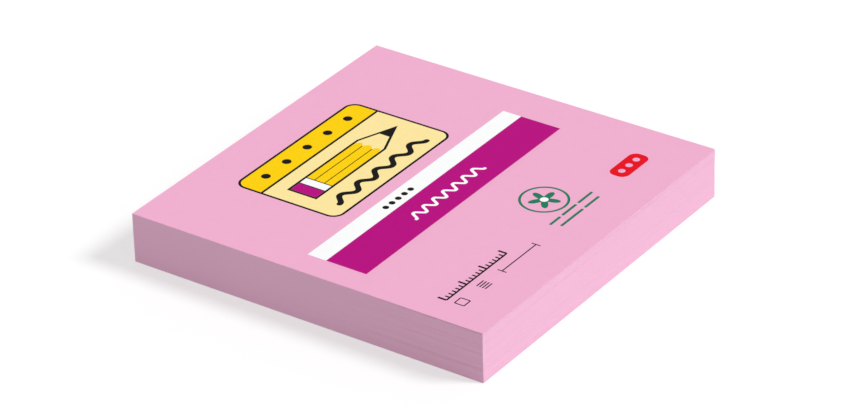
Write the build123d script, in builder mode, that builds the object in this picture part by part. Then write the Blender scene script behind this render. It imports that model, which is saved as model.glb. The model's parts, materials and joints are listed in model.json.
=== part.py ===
"""Sticky note pad: a block of square paper notes under a printed cover sheet, on a backing sheet.

Every sheet is held to the one below by a band of adhesive along the back edge, so the front edge
is the free one that a finger lifts. All four sides are guillotined square and flush.

Frame: +X to the reader's right, +Y towards the glued back edge, +Z up.
Origin: centre of the underside, which is the face that the pad rests on.
"""

import os

from build123d import *

# Driving dimensions, in millimetres.
pad_width = 76.0  # along X
pad_depth = 76.0  # along Y, from the free front edge to the glued back edge
note_count = 90  # notes in the block
note_pitch = 0.109  # height that one note adds: its paper, with its share of adhesive and trapped air
cover_thickness = 0.10  # the printed cover sheet
backing_thickness = 0.09  # the release-coated sheet under the last note

# Heights above the underside, built up sheet on sheet.
block_height = note_count * note_pitch
block_base = backing_thickness
cover_base = block_base + block_height
pad_height = cover_base + cover_thickness


# Backing sheet: covers the last note's adhesive, and is what the pad stands on.
with BuildPart() as backing_sheet:
    with BuildSketch(Plane.XY):
        Rectangle(pad_width, pad_depth)
    extrude(amount=backing_thickness)
backing_sheet.part.label = "backing_sheet"

# Note block: the notes lie so close that they are one solid, as a book's pages are.
with BuildPart() as note_sheets:
    with BuildSketch(Plane.XY.offset(block_base)):
        Rectangle(pad_width, pad_depth)
    extrude(amount=block_height)
note_sheets.part.label = "note_sheets"

# Cover sheet: one printed leaf on top, flush with the block's sides.
with BuildPart() as cover_sheet:
    with BuildSketch(Plane.XY.offset(cover_base)):
        Rectangle(pad_width, pad_depth)
    extrude(amount=cover_thickness)
cover_sheet.part.label = "cover_sheet"

os.makedirs("parts", exist_ok=True)
for sheet in (backing_sheet, note_sheets, cover_sheet):
    export_step(sheet.part, f"parts/{sheet.part.label}.step")

print(f"pad {pad_width:g} x {pad_depth:g} x {pad_height:g} mm, {note_count} notes")
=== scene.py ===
"""Sticky note pad: how it looks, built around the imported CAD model.

The pad is a block of square notes under a printed cover sheet, on a backing sheet. A band of adhesive
along the back edge holds each sheet to the one below, so the sheets are tight there and lie a little
loose along the front edge, which is the one that a finger lifts.

Everything is in metres, in the CAD frame: +X to the reader's right, +Y towards the glued back edge,
+Z up, with the origin at the centre of the underside. The print is laid out in millimetres on a page
whose corner is the cover's back left corner, with x to the right and y down towards the reader.
"""

import json
import math

import bpy
import numpy as np
from bpy.props import FloatProperty, FloatVectorProperty, IntProperty, PointerProperty
from mathutils import Matrix, Vector


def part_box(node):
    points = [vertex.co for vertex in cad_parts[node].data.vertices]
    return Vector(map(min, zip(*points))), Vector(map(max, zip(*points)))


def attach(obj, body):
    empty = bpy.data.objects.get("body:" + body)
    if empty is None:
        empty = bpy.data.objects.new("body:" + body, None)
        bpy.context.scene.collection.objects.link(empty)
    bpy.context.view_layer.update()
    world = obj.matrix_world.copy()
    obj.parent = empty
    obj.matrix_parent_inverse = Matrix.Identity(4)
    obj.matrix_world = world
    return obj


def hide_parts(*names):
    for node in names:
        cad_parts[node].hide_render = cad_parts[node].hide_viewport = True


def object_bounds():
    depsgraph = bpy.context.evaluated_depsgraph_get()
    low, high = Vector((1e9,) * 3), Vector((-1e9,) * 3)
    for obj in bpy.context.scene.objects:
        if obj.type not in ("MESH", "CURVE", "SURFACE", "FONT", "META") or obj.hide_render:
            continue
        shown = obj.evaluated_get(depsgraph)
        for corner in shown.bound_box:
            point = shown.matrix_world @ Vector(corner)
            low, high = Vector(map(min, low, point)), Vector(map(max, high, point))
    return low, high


bl_info = {
    "name": "Sticky note pad",
    "version": (1, 0, 0),
    "blender": (4, 5, 0),
    "location": "3D View > Sidebar > Note pad",
    "description": "Builds a glued pad of paper notes, its printed cover and a plain studio",
    "category": "Add Mesh",
}

MM = 0.001
PAD_BODY = "root"
BAKE_MAP = "OFBake"

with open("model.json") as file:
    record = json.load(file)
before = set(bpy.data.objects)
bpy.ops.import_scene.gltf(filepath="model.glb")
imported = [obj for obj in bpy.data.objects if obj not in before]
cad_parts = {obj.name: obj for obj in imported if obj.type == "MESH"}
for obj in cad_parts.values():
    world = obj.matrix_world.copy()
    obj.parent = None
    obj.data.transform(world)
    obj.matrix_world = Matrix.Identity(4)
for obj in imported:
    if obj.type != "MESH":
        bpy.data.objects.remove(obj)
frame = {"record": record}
cad_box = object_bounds()


def slot_colour(slot):
    """The base colour that the record gives to one of its material slots."""
    return next(m["base_color"] for m in frame["record"]["materials"] if m["slot"] == slot)


# ---------------------------------------------------------------------------------------------
# What a user would change


def length(name, description, millimetres):
    """A length property in metres, from a default in millimetres."""
    return FloatProperty(
        name=name, description=description, default=millimetres * MM, unit="LENGTH", precision=6
    )


def colour(name, description, default):
    """A colour property, in linear light."""
    return FloatVectorProperty(
        name=name, description=description, default=default, subtype="COLOR", min=0.0, max=1.0
    )


class PadSheets(bpy.types.PropertyGroup):
    """The sheets and the small play between them."""

    note_count: IntProperty(name="Notes", description="Notes in the block", default=90, min=1)
    paper: length("Paper", "Thickness of one note's paper", 0.1045)
    glue_width: length("Glue band", "Depth of the adhesive band from the back edge", 22.0)
    edge_play: length("Edge play", "How far a note's free edges stand in or out", 0.035)
    corner_lift: length("Corner lift", "How far the cover's free corners rise", 0.07)
    seed: IntProperty(name="Seed", description="Seed of the play between sheets", default=76)


class PadColours(bpy.types.PropertyGroup):
    """The papers and the inks."""

    paper: colour("Paper", "Face of a sheet", slot_colour("cover_paper"))
    cut: colour("Cut edges", "Trimmed edges of the sheets", slot_colour("note_paper"))
    backing: colour("Backing", "Sheet under the pad", slot_colour("backing_paper"))
    white: colour("White", "Upper band, and the small white parts", (0.965, 0.97, 0.975))
    magenta: colour("Magenta", "Lower band, and the pencil's eraser", (0.468, 0.001, 0.210))
    golden: colour("Golden", "Header of the panel, and the pencil's paint", (0.973, 0.631, 0.0))
    cream: colour("Cream", "Body of the panel, and the pencil's wood", (0.973, 0.791, 0.352))
    black: colour("Black", "Outlines, dots, measures and the panel's wave", (0.004, 0.004, 0.004))
    green: colour("Green", "Seal, and the rows under it", (0.013, 0.195, 0.102))
    red: colour("Red", "Tab near the right edge", (0.781, 0.003, 0.014))


class PadPrint(bpy.types.PropertyGroup):
    """Places and sizes of the print, from the cover's back left corner."""

    band_left: length("Bands' left", "Left end of both bands", 5.4)
    band_right: length("Bands' right", "Right end of both bands", 67.4)
    band_top: length("Bands' top", "Upper edge of the white band", 35.1)
    white_height: length("White height", "Height of the white band", 4.0)
    magenta_height: length("Magenta height", "Height of the magenta band", 8.7)
    panel_x: length("Panel x", "Middle of the panel", 36.6)
    panel_y: length("Panel y", "Middle of the panel", 20.7)
    panel_width: length("Panel width", "Width of the panel", 37.0)
    panel_height: length("Panel height", "Height of the panel", 23.3)
    panel_line: length("Panel line", "Width of the panel's outline", 0.5)
    seal_x: length("Seal x", "Middle of the seal", 43.9)
    seal_y: length("Seal y", "Middle of the seal", 59.7)
    seal_radius: length("Seal radius", "Outer radius of the seal's ring", 4.7)
    seal_line: length("Seal line", "Width of the seal's ring", 0.5)
    tab_x: length("Tab x", "Middle of the red tab", 62.6)
    tab_y: length("Tab y", "Middle of the red tab", 65.9)
    tab_width: length("Tab width", "Length of the red tab", 9.1)
    tab_height: length("Tab height", "Height of the red tab", 4.0)


SETTINGS = {"pad_sheets": PadSheets, "pad_colours": PadColours, "pad_print": PadPrint}


# ---------------------------------------------------------------------------------------------
# Shader maths


class Wire:
    """A socket that Python's arithmetic works on. Numbers add Math nodes, vectors Vector Math nodes."""

    def __init__(self, graph, socket):
        self.graph = graph
        self.socket = socket

    def __add__(self, other):
        return self.graph.maths("ADD", self, other)

    def __radd__(self, other):
        return self.graph.maths("ADD", other, self)

    def __sub__(self, other):
        return self.graph.maths("SUBTRACT", self, other)

    def __rsub__(self, other):
        return self.graph.maths("SUBTRACT", other, self)

    def __mul__(self, other):
        return self.graph.maths("MULTIPLY", self, other)

    def __rmul__(self, other):
        return self.graph.maths("MULTIPLY", other, self)

    def __truediv__(self, other):
        return self.graph.maths("DIVIDE", self, other)

    def __rtruediv__(self, other):
        return self.graph.maths("DIVIDE", other, self)

    def __neg__(self):
        return self.graph.maths("MULTIPLY", self, -1.0)

    def __abs__(self):
        return self.graph.maths("ABSOLUTE", self)

    @property
    def x(self):
        return self.graph.node("ShaderNodeSeparateXYZ", {}, {"Vector": self}, "X")

    @property
    def y(self):
        return self.graph.node("ShaderNodeSeparateXYZ", {}, {"Vector": self}, "Y")

    @property
    def z(self):
        return self.graph.node("ShaderNodeSeparateXYZ", {}, {"Vector": self}, "Z")


class Graph:
    """The node tree of one material or of the world."""

    def __init__(self, tree):
        self.tree = tree
        tree.nodes.clear()

    def node(self, kind, settings, values, output=0):
        """Adds a node: its settings first, then its sockets' values or links. Returns one output."""
        made = self.tree.nodes.new(kind)
        for name, value in settings.items():
            setattr(made, name, value)
        for name, value in values.items():
            socket = made.inputs[name]
            if isinstance(value, Wire):
                self.tree.links.new(value.socket, socket)
            elif socket.type == "RGBA":
                socket.default_value = (*value[:3], 1.0)
            else:
                socket.default_value = value
        return Wire(self, made.outputs[output]) if made.outputs else None

    def maths(self, operation, *terms):
        """One step of arithmetic, on vectors if any term is one, and otherwise on numbers."""
        vectors = any(
            isinstance(t, tuple) or isinstance(t, Wire) and t.socket.type in ("VECTOR", "RGBA")
            for t in terms
        )
        if not vectors:
            return self.node("ShaderNodeMath", {"operation": operation}, dict(enumerate(terms)))
        spread = [t if isinstance(t, (Wire, tuple)) else (t, t, t) for t in terms]
        return self.node("ShaderNodeVectorMath", {"operation": operation}, dict(enumerate(spread)))

    def least(self, first, second):
        return self.maths("MINIMUM", first, second)

    def most(self, first, second):
        return self.maths("MAXIMUM", first, second)

    def length(self, vector):
        return self.node("ShaderNodeVectorMath", {"operation": "LENGTH"}, {0: vector}, "Value")

    def mix(self, share, first, second):
        """A colour that goes from first to second as share goes from 0 to 1. A Mix node's colours
        are its inputs 6 and 7 and its output 2."""
        values = {"Factor": share, 6: first, 7: second}
        return self.node("ShaderNodeMix", {"data_type": "RGBA"}, values, 2)

    def ramp(self, value, start, end, first=0.0, last=1.0, kind="LINEAR"):
        """A number that goes from first to last as value goes from start to end, and stays there."""
        values = {
            "Value": value,
            "From Min": start,
            "From Max": end,
            "To Min": first,
            "To Max": last,
        }
        return self.node("ShaderNodeMapRange", {"interpolation_type": kind}, values)

    def noise(self, place, size, detail=2.0, roughness=0.5):
        """Smooth noise about 0, from about -1 to 1, whose blobs are size across."""
        values = {"Vector": place, "Scale": 1.0 / size, "Detail": detail, "Roughness": roughness}
        return self.node("ShaderNodeTexNoise", {}, values) * 2.0 - 1.0


class Page:
    """The cover's page: its shapes are distances in millimetres, below 0 inside the shape."""

    EDGE = 0.02  # half the soft rim of a printed shape, in millimetres
    SHARP = 0.05  # the corner radius of a shape with plain corners, which has to be more than EDGE
    PETAL = 0.32  # how far a rosette's outline swings, as a share of its reach

    def __init__(self, graph, place, paper):
        low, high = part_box("cover_sheet")
        flip = (1.0 / MM, -1.0 / MM, 0.0)
        corner = (-low.x / MM, high.y / MM, 0.0)
        self.graph = graph
        self.spot = place * flip + corner
        self.colour = tuple(paper)
        self.ink = 0.0

    def offset(self, x, y):
        """The way to the point from a place."""
        return self.spot - (x, y, 0.0)

    def disc(self, x, y, radius):
        """A round spot: how far the point is from its middle, less its radius."""
        return self.graph.length(self.offset(x, y)) - radius

    def box(self, offset, width, height, radius=SHARP):
        """A box with round corners: how far the point is past the box shrunk by the radius, less it.
        offset is the way to the point from the box's middle."""
        core = (width / 2 - radius, height / 2 - radius, 1.0)
        past = self.graph.most(abs(offset) - core, (0.0, 0.0, 0.0))
        return self.graph.length(past) - radius

    def bar(self, left, top, right, bottom, radius=SHARP):
        """A box with round corners, by its sides."""
        middle = self.offset((left + right) / 2, (top + bottom) / 2)
        return self.box(middle, right - left, bottom - top, radius)

    def line(self, left, right, line, stroke, ink, radius=SHARP):
        """Prints a straight stroke along x, with its middle on the line."""
        self.lay(self.bar(left, line - stroke / 2, right, line + stroke / 2, radius), ink)

    def row(self, left, line, step, count):
        """The way to the point from the nearest of count places, step apart from left to right: the
        number of steps is rounded, and kept from 0 to the last place."""
        steps = self.graph.maths("ROUND", (self.spot.x - left) / step)
        steps = self.graph.least(self.graph.most(steps, 0.0), count - 1)
        return self.offset(left, line) - steps * (step, 0.0, 0.0)

    def dots(self, left, line, step, count, radius):
        """A row of round dots, from the middle of the first one."""
        return self.graph.length(self.row(left, line, step, count)) - radius

    def wave(self, left, line, step, count, rise, stroke):
        """A wavy line with round ends, of count waves from crest to crest. The point's way along it
        is kept between its ends. How far the point is above or below the cosine there, made less by
        the cosine's slope, is put together with how far it is past the end, less half the stroke."""
        along = self.graph.least(self.graph.most(self.spot.x - left, 0.0), step * count)
        turn = along * (2 * math.pi / step)
        height = self.graph.maths("COSINE", turn) * rise
        slope = self.graph.maths("SINE", turn) * (rise * 2 * math.pi / step)
        across = (self.spot.y - line - height) / self.graph.maths("SQRT", slope * slope + 1.0)
        past = self.spot.x - left - along
        return self.graph.maths("SQRT", across * across + past * past) - stroke / 2

    def ring(self, x, y, radius, line):
        """A ring: how far the point is in or out from the middle of its line, less half the line."""
        return abs(self.disc(x, y, radius - line / 2)) - line / 2

    def rosette(self, x, y, reach, petals):
        """A flower: the distance from its middle, less a radius that swings with the angle."""
        offset = self.offset(x, y)
        angle = self.graph.maths("ARCTAN2", offset.y, offset.x)
        swing = self.graph.maths("COSINE", angle * petals) * (reach * self.PETAL)
        return self.graph.length(offset) - (swing + reach * (1 - self.PETAL))

    def lay(self, distance, colour):
        """Prints a shape in a colour over what is there."""
        mask = self.graph.ramp(distance, -self.EDGE, self.EDGE, 1.0, 0.0)
        self.colour = self.graph.mix(mask, self.colour, colour)
        self.ink = self.graph.most(mask, self.ink)


def principled(name, build):
    """A material whose surface is one Principled BSDF. build(graph, place) returns the values of its
    sockets, where place is the piece's own Object coordinate."""
    material = bpy.data.materials.new(name)
    material.use_nodes = True
    graph = Graph(material.node_tree)
    place = graph.node("ShaderNodeTexCoord", {}, {}, "Object")
    surface = graph.node("ShaderNodeBsdfPrincipled", {}, build(graph, place))
    graph.node("ShaderNodeOutputMaterial", {}, {"Surface": surface})
    return material


# ---------------------------------------------------------------------------------------------
# Papers and print

PAPER_GLOSS = 0.05  # Specular IOR Level of uncoated paper
CLOUD_SHARE = 0.018  # how much the paper's clouds change its colour
TOOTH_SHARE = 0.028  # the same for its tooth
FIBRE_SHARE = 0.028  # how much lighter its fibres are
FIBRE_REACH = 0.09  # a fibre is where its noise is less than this from 0
FIBRE_COVER = 0.29  # the share of a face that the fibres cover
TOOTH_HEIGHT = 0.004 * MM
FIBRE_HEIGHT = 0.003 * MM

# The trimmed edges.
MARK_SHARE = 0.012  # how much the blade's marks change their colour
EDGE_CLOUD_SHARE = 0.008  # the same for wide clouds
END_SHARE = 0.035  # the same for the fibre ends
SEAM_SHADE_SHARE = 0.11  # painted shade: how much darker the rims of a sheet's edge are, for the hairline seams between sheets
SEAM_SHADE_GROWTH = 4.0  # how much more painted seam shade on a sheet of a lighter tone, for each part of its own tone
GLUED_SHARE = 0.012  # how much darker the edges are at the adhesive band
EDGE_LEVEL = 1.015  # what makes up for the painted seam shade at the rims, so that the whole has the edges' colour
MARK_HEIGHT = 0.002 * MM
END_HEIGHT = 0.0012 * MM


def fibres(graph, place):
    """Paper's cloudy formation, its tooth and its fibres, as (share of the colour, height in metres).
    The fibres are thin crooked lines, where a noise crosses 0."""
    cloud = graph.noise(place, size=3.2 * MM, detail=3.0)
    tooth = graph.noise(place, size=0.20 * MM, detail=3.0, roughness=0.6)
    crossing = abs(graph.noise(place, size=0.75 * MM))
    fibre = graph.ramp(crossing, 0.0, FIBRE_REACH, 1.0, 0.0, "SMOOTHSTEP")
    share = cloud * CLOUD_SHARE + tooth * TOOTH_SHARE + (fibre - FIBRE_COVER) * FIBRE_SHARE + 1.0
    return share, tooth * TOOTH_HEIGHT + fibre * FIBRE_HEIGHT


def bump(graph, height):
    """The normal of a face with a relief of this height, in metres."""
    return graph.node("ShaderNodeBump", {}, {"Height": height, "Strength": 1.0, "Distance": 1.0})


def glue_line():
    """Where the adhesive band begins, along y."""
    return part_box("note_sheets")[1].y - bpy.context.scene.pad_sheets.glue_width


def print_bands(page, layout, inks):
    """The white band over the magenta one, with five dots on the upper and a wave on the lower."""
    left, right = layout.band_left / MM, layout.band_right / MM
    top = layout.band_top / MM
    middle = top + layout.white_height / MM
    bottom = middle + layout.magenta_height / MM
    page.lay(page.bar(left, middle, right, bottom), inks.magenta)
    page.lay(page.bar(left, top, right, middle), inks.white)

    dots, dot_step, dot_radius = 5, 1.95, 0.62
    dot_left, dot_line = left + 20.9, middle - 1.85
    page.lay(page.dots(dot_left, dot_line, dot_step, dots, dot_radius), inks.black)
    waves, wave_step, rise, stroke = 7, 3.12, 0.85, 0.62
    wave_left, wave_line = left + 20.4, (middle + bottom) / 2
    page.lay(page.wave(wave_left, wave_line, wave_step, waves, rise, stroke), inks.white)


def print_measures(page, ink):
    """A short scale with its ticks, and under it a square sheet, a pile of sheets and a measure."""
    left, scale_line, small_line = 5.8, 64.55, 67.2
    stroke, thin = 0.38, 0.26

    parts, part_step, small_ticks = 3, 6.24, 6
    tick_step = part_step / small_ticks
    tick_height, long_height, long_stroke = 1.0, 1.8, stroke * 1.3
    page.line(left, left + part_step * parts, scale_line, stroke, ink)
    ticks = page.row(left, scale_line - tick_height / 2, tick_step, parts * small_ticks + 1)
    page.lay(page.box(ticks, stroke, tick_height), ink)
    long_ticks = page.row(left, scale_line - long_height / 2, part_step, parts + 1)
    page.lay(page.box(long_ticks, long_stroke, long_height), ink)

    sheet_size, sheet_corner = 2.0, 0.2
    sheet = page.offset(left + sheet_size / 2, small_line)
    page.lay(abs(page.box(sheet, sheet_size, sheet_size, sheet_corner)) - thin / 2, ink)

    pile_left, pile_width, pile_step, pile_sheets = left + 6.7, 2.2, 0.6, 4
    for number in range(pile_sheets):
        line = small_line + pile_step * (number - (pile_sheets - 1) / 2)
        page.line(pile_left, pile_left + pile_width, line, thin, ink)

    start, end, stop_height = left + 13.3, left + 24.1, 1.9
    page.line(start, end, small_line, thin, ink)
    for stop in (start, end):
        page.lay(page.box(page.offset(stop, small_line), thin, stop_height), ink)


def print_panel(page, layout, inks):
    """An upright panel with a header, a pencil and the wavy line that it draws."""
    x, y = layout.panel_x / MM, layout.panel_y / MM
    width, height = layout.panel_width / MM, layout.panel_height / MM
    line = layout.panel_line / MM
    corner, header = 2.4, 6.2
    top = y - height / 2
    outer = page.box(page.offset(x, y), width, height, corner)
    inner = outer + line
    below = page.spot.y - (top + header)
    page.lay(outer, inks.black)
    page.lay(page.graph.most(inner, line / 2 - below), inks.cream)
    page.lay(page.graph.most(inner, below + line / 2), inks.golden)

    dots, dot_step, dot_radius = 5, 6.4, 0.9
    dot_left, dot_line = x - dot_step * (dots - 1) / 2, top + header / 2 + line / 4
    page.lay(page.dots(dot_left, dot_line, dot_step, dots, dot_radius), inks.black)
    pencil_line, wave_line = y + 1.0, y + 7.9
    print_pencil(page, x, pencil_line, line, inks)
    waves, wave_step, rise, stroke = 5, 5.5, 0.9, 1.15
    wave_left = x - wave_step * waves / 2
    page.lay(page.wave(wave_left, wave_line, wave_step, waves, rise, stroke), inks.black)


def print_pencil(page, x, y, line, inks):
    """A pencil along x with its point to the right. It is where three half planes meet: its two long
    sides, its end, and the cone's side. All of it is black first, and each part is a colour on that."""
    most = page.graph.most
    along = page.spot.x - x
    across = abs(page.spot.y - y)
    back, shoulder, tip, half = -14.2, 7.0, 14.2, 2.8
    eraser, ferrule, lead, facet = 2.9, 1.7, 2.9, 1.1
    slope = half / (tip - shoulder)
    cone = (across - (tip - along) * slope) * (1 / math.hypot(1, slope))
    shape = most(most(across - half, back - along), cone)
    page.lay(shape - line, inks.black)
    page.lay(most(shape, along - (tip - lead)), inks.cream)

    # The paint ends in three scallops, one for each face of the six-sided wood that is seen: it
    # falls back by the square of the way from the middle of the nearest face to its side.
    side_middle, side_half = (half + facet) / 2, (half - facet) / 2
    way = page.graph.least(across / facet, abs(across - side_middle) / side_half)
    scallop, paint_gap = 1.0, 0.3
    paint = along - (shoulder - paint_gap) + way * way * scallop
    page.lay(most(shape, paint), inks.golden)
    page.lay(most(most(shape, abs(across - facet) - line / 5), paint), inks.black)

    eraser_end = back + eraser
    ferrule_end = eraser_end + ferrule
    page.lay(most(shape, along - ferrule_end - line), inks.black)
    page.lay(most(shape, along - ferrule_end - line / 2), inks.white)
    page.lay(most(shape, along - eraser_end), inks.black)
    page.lay(most(shape, along - eraser_end + line / 2), inks.magenta)


def print_seal(page, layout, inks):
    """A ring round a five-petal rosette, with two rows of bars under it."""
    x, y, radius = layout.seal_x / MM, layout.seal_y / MM, layout.seal_radius / MM
    petals, petal_reach, heart_radius = 5, radius * 0.66, radius * 0.17
    page.lay(page.ring(x, y, radius, layout.seal_line / MM), inks.green)
    page.lay(page.rosette(x, y, petal_reach, petals), inks.green)
    page.lay(page.disc(x, y, heart_radius), inks.white)
    height, gap, corner = 0.55, 0.6, 0.22
    rows = ((5.8, (3.4, 4.6, 4.7)), (7.7, (7.2, 4.7)))  # each row's way down, and its bars' widths
    for down, widths in rows:
        left = x - (sum(widths) + gap * (len(widths) - 1)) / 2
        for width in widths:
            page.line(left, left + width, y + down, height, inks.green, corner)
            left += width + gap


def print_tab(page, layout, inks):
    """A red tab with round corners and three holes that show the paper."""
    x, y = layout.tab_x / MM, layout.tab_y / MM
    width, height = layout.tab_width / MM, layout.tab_height / MM
    holes, hole_step, hole_radius = 3, width * 0.27, height * 0.17
    hole_left, corner = x - hole_step * (holes - 1) / 2, height * 0.4
    punched = page.dots(hole_left, y, hole_step, holes, hole_radius)
    tab = page.box(page.offset(x, y), width, height, corner)
    page.lay(page.graph.most(tab, -punched), inks.red)


def cover_print(graph, place):
    """The printed face of the cover sheet. The ink is a little smoother than the paper."""
    inks = bpy.context.scene.pad_colours
    layout = bpy.context.scene.pad_print
    share, relief = fibres(graph, place)
    page = Page(graph, place, inks.paper)
    print_bands(page, layout, inks)
    print_measures(page, inks.black)
    print_panel(page, layout, inks)
    print_seal(page, layout, inks)
    print_tab(page, layout, inks)
    paper_roughness, ink_roughness = 0.88, 0.66
    return {
        "Base Color": page.colour * share,
        "Roughness": graph.ramp(page.ink, 0.0, 1.0, paper_roughness, ink_roughness),
        "Specular IOR Level": PAPER_GLOSS,
        "Normal": bump(graph, relief),
    }


def plain_paper(graph, place):
    """The faces of the notes, and the cover's underside."""
    share, relief = fibres(graph, place)
    return {
        "Base Color": share * tuple(bpy.context.scene.pad_colours.paper),
        "Roughness": 0.9,
        "Specular IOR Level": PAPER_GLOSS,
        "Normal": bump(graph, relief),
    }


def backing_paper(graph, place):
    """The backing sheet: plain paper, a little darker and smoother where the adhesive shows
    through."""
    share, relief = fibres(graph, place)
    fade, darker = 0.3 * MM, 0.05
    free_roughness, glued_roughness = 0.85, 0.7
    glued = graph.ramp(place.y, glue_line() - fade, glue_line() + fade)
    return {
        "Base Color": (share - glued * darker) * tuple(bpy.context.scene.pad_colours.backing),
        "Roughness": graph.ramp(glued, 0.0, 1.0, free_roughness, glued_roughness),
        "Specular IOR Level": PAPER_GLOSS,
        "Normal": bump(graph, relief),
    }


def cut_edges(graph, place):
    """The trimmed sides: each sheet a tone of its own with painted shade along its rims for the hairline
    seams between sheets, fine fibre ends, and the faint upright marks of the blade."""
    shade = graph.node("ShaderNodeAttribute", {"attribute_name": "shade"}, {}, "Fac")
    across = graph.node("ShaderNodeAttribute", {"attribute_name": "across"}, {}, "Fac")
    # Painted shade: each sheet's edge is darker towards its underside and top, for the hairline seams
    # between the sheets, and more so on a lighter sheet.
    seam_shade_start, seam_shade_end = 0.32, 0.5  # from the middle of a sheet's thickness
    painted_seam_shade = graph.ramp(abs(across - 0.5), seam_shade_start, seam_shade_end, kind="SMOOTHSTEP")
    # The blade's marks run up the stack with a slight slant: they change along x, a little faster
    # along y, and hardly with the height.
    faster, slant = 1.31, 0.08
    slanted = place * (1.0, faster, 0.0) + place.z * slant
    marks = graph.noise(slanted, size=0.55 * MM)
    cloud = graph.noise(place, size=4.0 * MM)
    ends = graph.noise(place, size=0.05 * MM, roughness=0.6)
    fade, free_roughness, glued_roughness = 4.0 * MM, 0.95, 0.86
    glued = graph.ramp(place.y, glue_line(), glue_line() + fade, kind="SMOOTHSTEP")
    share = shade + marks * MARK_SHARE + cloud * EDGE_CLOUD_SHARE + ends * END_SHARE
    share = share - painted_seam_shade * (shade * SEAM_SHADE_GROWTH + SEAM_SHADE_SHARE) - glued * GLUED_SHARE + EDGE_LEVEL
    return {
        "Base Color": share * tuple(bpy.context.scene.pad_colours.cut),
        "Roughness": graph.ramp(glued, 0.0, 1.0, free_roughness, glued_roughness),
        "Specular IOR Level": PAPER_GLOSS,
        "Normal": bump(graph, marks * MARK_HEIGHT + ends * END_HEIGHT),
    }


# ---------------------------------------------------------------------------------------------
# Sheets

MIDDLE_LIFT = 0.3  # the lift of the cover's front edge at its middle, as a share of its corners' lift
GLUED_PLAY = 0.15  # the share of the edge play that is left where the notes are glued
FOLLOWING = (0.2, 0.5)  # how much of the cover's lift the notes below it follow, the nearest one last
SHADE_SPREAD = 0.012  # how much the notes' edges differ in shade
AIR_PLACES = 4  # places along the front edge, each with its own air between the notes
AIR_POWER = 1.5  # more makes the air over the notes less even
DRIFT_KEPT = 0.8  # how much of its shift each note keeps from the one below
DRIFT_OWN = 0.6  # and how much is its own

MAP_RIM = 0.01  # left free round the bake's map
MAP_GAP = 0.008  # left free between its strips
FLAT_SIZES = {"tops": (0.9, 0.05), "bottoms": (0.05, 0.9), "edges": (0.03, 0.03)}


def edge_spaced(low, high, steps):
    """Places from low to high, closer together towards both ends: half of the way along an even line,
    and half by the cosine of an even angle."""
    even = np.linspace(-1, 1, steps + 1)
    crowded = -np.cos(np.linspace(0, np.pi, steps + 1))
    return (low + high) / 2 + (high - low) / 4 * (even + crowded)


def smooth(share):
    """From 0 to 1 as share does, with a level start and end."""
    return share * share * (3 - 2 * share)


def way_to_front(y):
    """0 over the adhesive band, and then evenly up to 1 at the front edge."""
    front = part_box("note_sheets")[0].y
    return np.clip((glue_line() - y) / (glue_line() - front), 0, 1)


def lift(x, y):
    """How far the top sheet rises: by the square of the way to the front edge, and from its middle
    to its corners by the square of the way along it."""
    low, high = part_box("cover_sheet")
    along = MIDDLE_LIFT + (1 - MIDDLE_LIFT) * (2 * x / (high.x - low.x)) ** 2
    return bpy.context.scene.pad_sheets.corner_lift * way_to_front(y) ** 2 * along


def bake_places(tops, bottoms, edges, way, level, wide):
    """Where each face's corners lie on the bake's map: the tops in a square at its upper left, the
    undersides in one at its upper right, and the four edges in strips below, each with the sheets
    one above another. way is each point's share of the way along x and y, and level is its height
    in the pile, from 0 to 1."""
    top_size, bottom_size = FLAT_SIZES[wide]
    strip = (1 - 2 * MAP_RIM - len(edges) * MAP_GAP - max(top_size, bottom_size)) / len(edges)
    places = [
        way[tops] * top_size + (MAP_RIM, 1 - MAP_RIM - top_size),
        way[bottoms] * bottom_size + (1 - MAP_RIM - bottom_size),
    ]
    for side, edge in enumerate(edges):
        along = MAP_RIM + way[edge][..., side % 2] * (1 - 2 * MAP_RIM)
        height = MAP_RIM + side * (strip + MAP_GAP) + level[edge] * strip
        places.append(np.stack([along, height], -1))
    return np.concatenate(places)


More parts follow.
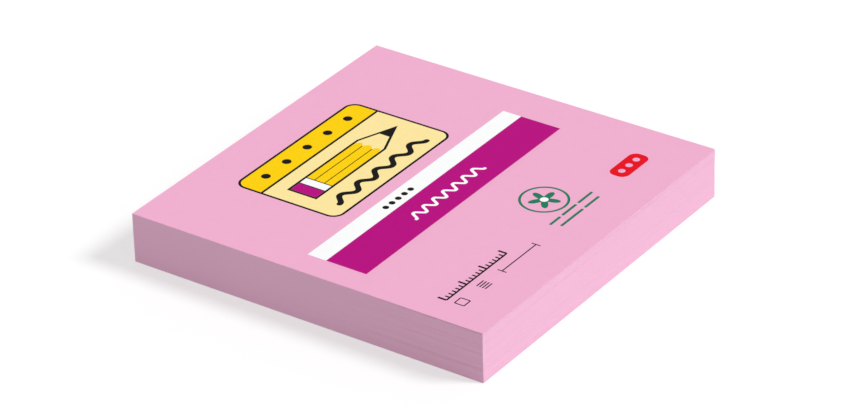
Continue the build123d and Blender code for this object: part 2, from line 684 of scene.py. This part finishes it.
def sheet_mesh(name, x, y, bottom, top, shade, wide):
    """Closed sheets as one mesh. x, y, bottom and top are arrays (sheet, step along x, step along y):
    a grid of points over each sheet's underside and another over its top, joined round the edge.
    Face material 0 is the sheets' tops, 1 their undersides and 2 their cut edges. wide is what gets
    the most room on the bake's map: tops, bottoms or edges."""
    sheets, columns, rows = x.shape
    points = np.stack([np.stack([x, y, z], -1) for z in (bottom, top)], 1)
    number = np.arange(points.size // 3).reshape(sheets, 2, columns, rows)
    under, over = number[:, 0], number[:, 1]

    def quads(a, b, c, d):
        return np.stack([a, b, c, d], -1).reshape(-1, 4)

    def at_points(values):
        """Values (sheet, underside or top), given to every point there."""
        return np.broadcast_to(values[..., None, None], number.shape).reshape(-1)

    # Anticlockwise as seen from outside: tops, undersides, then the front, right, back and left edges.
    tops = quads(over[:, :-1, :-1], over[:, 1:, :-1], over[:, 1:, 1:], over[:, :-1, 1:])
    bottoms = quads(under[:, :-1, :-1], under[:, :-1, 1:], under[:, 1:, 1:], under[:, 1:, :-1])
    around = (np.s_[:, :, 0], np.s_[:, -1, :], np.s_[:, ::-1, -1], np.s_[:, 0, ::-1])
    edges = [
        quads(under[side][:, :-1], under[side][:, 1:], over[side][:, 1:], over[side][:, :-1])
        for side in around
    ]
    faces = np.concatenate([tops, bottoms, *edges])

    mesh = bpy.data.meshes.new(name)
    mesh.from_pydata(points.reshape(-1, 3), [], faces.tolist())
    materials = np.repeat([0, 1, 2], [len(tops), len(bottoms), sum(len(edge) for edge in edges)])
    mesh.polygons.foreach_set("material_index", materials.astype(np.int32))
    across = np.array([[0.0, 1.0]])  # a sheet's underside and its top
    for attribute, values in (("shade", np.array(shade)[:, None]), ("across", across)):
        layer = mesh.attributes.new(attribute, "FLOAT", "POINT")
        layer.data.foreach_set("value", at_points(values).astype(np.float32))

    corners = points.reshape(-1, 3)[:, :2]
    way = (corners - corners.min(0)) / np.ptp(corners, 0)
    level = at_points((np.arange(sheets)[:, None] + across) / sheets)
    places = bake_places(tops, bottoms, edges, way, level, wide)
    uv = mesh.uv_layers.new(name=BAKE_MAP)
    uv.uv.foreach_set("vector", places.astype(np.float32).ravel())
    mesh.update()
    return mesh


def sheet_grid(node, steps):
    """The x and y of a grid over a CAD node's top, as two arrays (step along x, step along y)."""
    low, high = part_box(node)
    across = edge_spaced(low.x, high.x, steps)
    back = edge_spaced(low.y, high.y, steps)
    return np.meshgrid(across, back, indexing="ij")


def place_piece(mesh, node, tops, bottoms):
    """Adds a finished mesh as the piece that stands for a CAD node. tops and bottoms build the
    materials of its two flat faces."""
    for part, build in (("tops", tops), ("bottoms", bottoms), ("cut_edges", cut_edges)):
        mesh.materials.append(principled(f"{node}_{part}", build))
    piece = bpy.data.objects.new(f"{node}_look", mesh)
    bpy.context.scene.collection.objects.link(piece)
    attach(piece, PAD_BODY)
    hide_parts(node)


class NOTEPAD_OT_backing_sheet(bpy.types.Operator):
    """The sheet that covers the last note's adhesive and that the pad stands on"""

    bl_idname = "notepad.backing_sheet"
    bl_label = "Backing sheet"

    def execute(self, context):
        low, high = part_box("backing_sheet")
        x, y = sheet_grid("backing_sheet", steps=40)
        bottom, top = np.full(x.shape, low.z), np.full(x.shape, high.z)
        grids = [grid[None] for grid in (x, y, bottom, top)]
        mesh = sheet_mesh("backing_sheet", *grids, [0.0], "bottoms")
        place_piece(mesh, "backing_sheet", backing_paper, backing_paper)
        return {"FINISHED"}


class NOTEPAD_OT_note_sheets(bpy.types.Operator):
    """The notes one by one: tight over their adhesive, with a little play along the free edges"""

    bl_idname = "notepad.note_sheets"
    bl_label = "Note sheets"

    def execute(self, context):
        sheets = context.scene.pad_sheets
        low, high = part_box("note_sheets")
        count = sheets.note_count
        air_share = (high.z - low.z) / count - sheets.paper
        random = np.random.default_rng(sheets.seed)
        x, y = sheet_grid("note_sheets", steps=20)
        free = smooth(way_to_front(y))

        # Air over each note, at a few places along the front edge with a smooth way from one to the
        # next: mostly a little and now and then more, and together always the same height.
        places = np.linspace(low.x, high.x, AIR_PLACES)
        air = random.exponential(1.0, (AIR_PLACES, count)) ** AIR_POWER
        air *= count * air_share / air.sum(1, keepdims=True)
        near = np.clip(1 - abs(x - places[:, None, None]) / (places[1] - places[0]), 0, 1)
        loose = np.einsum("pn,pij->nij", air, smooth(near))
        gap = air_share * (1 - free) + loose * free
        step = sheets.paper + gap
        bottom = low.z + np.cumsum(step, 0) - step
        top = bottom + sheets.paper + gap * (1 - free)

        # Each note stands a little in or out, much like the one below it.
        drift = np.zeros((2, count))
        kick = random.normal(0, 1, (2, count))
        for note in range(1, count):
            drift[:, note] = DRIFT_KEPT * drift[:, note - 1] + DRIFT_OWN * kick[:, note]
        drift *= sheets.edge_play / 2
        hold = GLUED_PLAY + (1 - GLUED_PLAY) * free
        shifted_x, shifted_y = (a + d[:, None, None] * hold for a, d in zip((x, y), drift))

        # The top notes follow the cover's free corners.
        follow = np.zeros(count)
        follow[-len(FOLLOWING) :] = FOLLOWING
        rise = lift(x, y) * follow[:, None, None]
        shade = random.normal(0, SHADE_SPREAD, count)
        grids = (shifted_x, shifted_y, bottom + rise, top + rise)
        mesh = sheet_mesh("note_sheets", *grids, shade, "edges")
        place_piece(mesh, "note_sheets", plain_paper, plain_paper)
        return {"FINISHED"}


class NOTEPAD_OT_cover_sheet(bpy.types.Operator):
    """The printed sheet on top, whose free corners lift by a hair"""

    bl_idname = "notepad.cover_sheet"
    bl_label = "Cover sheet"

    def execute(self, context):
        low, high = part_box("cover_sheet")
        x, y = sheet_grid("cover_sheet", steps=96)
        rise = lift(x, y)
        grids = [grid[None] for grid in (x, y, low.z + rise, high.z + rise)]
        mesh = sheet_mesh("cover_sheet", *grids, [0.0], "tops")
        place_piece(mesh, "cover_sheet", cover_print, plain_paper)
        return {"FINISHED"}


# ---------------------------------------------------------------------------------------------
# Studio

SKY_TOP = 0.30  # the plain light from straight above
SKY_SIDE = 1.65  # the light from low all round, as in a tent of white cloth
KEY_LEVEL = 0.685  # the lamp, as the level of a white sheet that faces it
KEY_FROM = Vector((0.25, -0.50, 0.55))  # the way to the lamp
KEY_SIZE = math.radians(18)  # how wide the lamp is, as seen from the pad
FLOOR_HALF = 30.0  # half the floor's side, which reaches past every view
FLOOR_DROP = 0.01 * MM
FLOOR_BOUNCE = 0.3  # how much of its light the floor gives back to the pad
FLOOR_SHADE = 0.52  # the part of the floor's seen white that a shadow can take away
FLOOR_GLOW = 0.5  # the part that it can't

CAMERA_AZIMUTH = math.radians(-54.53)
CAMERA_ELEVATION = math.radians(30.12)
CAMERA_ROLL = math.radians(-1.51)
CAMERA_DISTANCE = 781.5 * MM
CAMERA_LENS = 181.0  # in millimetres, on a sensor 36 mm wide
CAMERA_REACH = 100.0


def seen_plainly(graph):
    """1 for rays that see the background straight, in a gloss or through glass, and 0 for light."""
    rays = [
        graph.node("ShaderNodeLightPath", {}, {}, f"Is {kind} Ray")
        for kind in ("Camera", "Glossy", "Transmission")
    ]
    return graph.most(graph.most(rays[0], rays[1]), rays[2])


class NOTEPAD_OT_studio(bpy.types.Operator):
    """A white floor and background, soft plain light and the camera"""

    bl_idname = "notepad.studio"
    bl_label = "Studio"

    def execute(self, context):
        scene = context.scene
        self.floor(scene)
        self.sky(scene)
        self.lamp(scene)
        self.camera(scene)
        scene.view_settings.view_transform = "Standard"
        return {"FINISHED"}

    def floor(self, scene):
        """A square floor just under the pad. It is white where the light is whole, and keeps shadows."""
        half = FLOOR_HALF
        corners = [(-half, -half), (half, -half), (half, half), (-half, half)]
        mesh = bpy.data.meshes.new("floor")
        mesh.from_pydata([(x, y, -FLOOR_DROP) for x, y in corners], [], [(0, 1, 2, 3)])
        floor = bpy.data.objects.new("floor", mesh)
        scene.collection.objects.link(floor)
        material = bpy.data.materials.new("floor")
        material.use_nodes = True
        graph = Graph(material.node_tree)
        plain = graph.node("ShaderNodeBsdfDiffuse", {}, {"Color": [FLOOR_BOUNCE] * 3})
        shaded = graph.node("ShaderNodeBsdfDiffuse", {}, {"Color": [FLOOR_SHADE] * 3})
        glow = graph.node("ShaderNodeEmission", {}, {"Color": (1, 1, 1), "Strength": FLOOR_GLOW})
        white = graph.node("ShaderNodeAddShader", {}, {0: shaded, 1: glow})
        seen = seen_plainly(graph)
        surface = graph.node("ShaderNodeMixShader", {}, {0: seen, 1: plain, 2: white})
        graph.node("ShaderNodeOutputMaterial", {}, {"Surface": surface})
        mesh.materials.append(material)

    def sky(self, scene):
        """White where it is seen, and where it lights a plain light that grows towards the horizon by
        the square of 1 less the direction's height."""
        world = bpy.data.worlds.new("studio")
        world.use_nodes = True
        graph = Graph(world.node_tree)
        height = abs(graph.node("ShaderNodeTexCoord", {}, {}, "Generated").z)
        light = (1.0 - height) * (1.0 - height) * (SKY_SIDE - SKY_TOP) + SKY_TOP
        seen = seen_plainly(graph)
        level = light * (1.0 - seen) + seen
        sky = graph.node("ShaderNodeBackground", {}, {"Color": (1, 1, 1), "Strength": level})
        graph.node("ShaderNodeOutputWorld", {}, {"Surface": sky})
        scene.world = world

    def lamp(self, scene):
        """One large soft lamp, far away, in front of the pad and to its right."""
        lamp = bpy.data.lights.new("key", "SUN")
        lamp.energy = KEY_LEVEL * math.pi
        lamp.angle = KEY_SIZE
        key = bpy.data.objects.new("key", lamp)
        key.rotation_mode = "QUATERNION"
        key.rotation_quaternion = KEY_FROM.to_track_quat("Z", "Y")
        scene.collection.objects.link(key)

    def camera(self, scene):
        """Looks at the pad's middle from its front left, with a slight roll."""
        low, high = cad_box
        middle = (low + high) / 2
        around, up = CAMERA_AZIMUTH, CAMERA_ELEVATION
        back = Vector((
            math.sin(around) * math.cos(up), -math.cos(around) * math.cos(up), math.sin(up)
        ))
        right = Vector((math.cos(around), math.sin(around), 0.0))
        axes = Matrix((right, back.cross(right), back)).transposed()
        camera = bpy.data.cameras.new("camera")
        camera.lens = CAMERA_LENS
        camera.clip_end = CAMERA_REACH
        view = bpy.data.objects.new("camera", camera)
        turned = axes @ Matrix.Rotation(CAMERA_ROLL, 3, "Z")
        view.matrix_world = Matrix.Translation(middle + back * CAMERA_DISTANCE) @ turned.to_4x4()
        scene.collection.objects.link(view)
        scene.camera = view


# ---------------------------------------------------------------------------------------------
# Add-on

OPERATORS = (
    NOTEPAD_OT_backing_sheet,
    NOTEPAD_OT_note_sheets,
    NOTEPAD_OT_cover_sheet,
    NOTEPAD_OT_studio,
)


class NOTEPAD_PT_sidebar(bpy.types.Panel):
    """The pad's pieces and what can be changed"""

    bl_idname = "NOTEPAD_PT_sidebar"
    bl_label = "Sticky note pad"
    bl_space_type = "VIEW_3D"
    bl_region_type = "UI"
    bl_category = "Note pad"

    def draw(self, context):
        layout = self.layout
        for operator in OPERATORS:
            layout.operator(operator.bl_idname)
        for name, group in SETTINGS.items():
            box = layout.box()
            for setting in group.__annotations__:
                box.prop(getattr(context.scene, name), setting)


def register():
    for group in SETTINGS.values():
        bpy.utils.register_class(group)
    for name, group in SETTINGS.items():
        setattr(bpy.types.Scene, name, PointerProperty(type=group))
    for operator in OPERATORS:
        bpy.utils.register_class(operator)
    bpy.utils.register_class(NOTEPAD_PT_sidebar)


def unregister():
    bpy.utils.unregister_class(NOTEPAD_PT_sidebar)
    for operator in reversed(OPERATORS):
        bpy.utils.unregister_class(operator)
    for name, group in SETTINGS.items():
        delattr(bpy.types.Scene, name)
        bpy.utils.unregister_class(group)


def main():
    """Makes the pad and the studio."""
    register()
    bpy.ops.notepad.backing_sheet()
    bpy.ops.notepad.note_sheets()
    bpy.ops.notepad.cover_sheet()
    bpy.ops.notepad.studio()


if __name__ == "__main__":
    main()
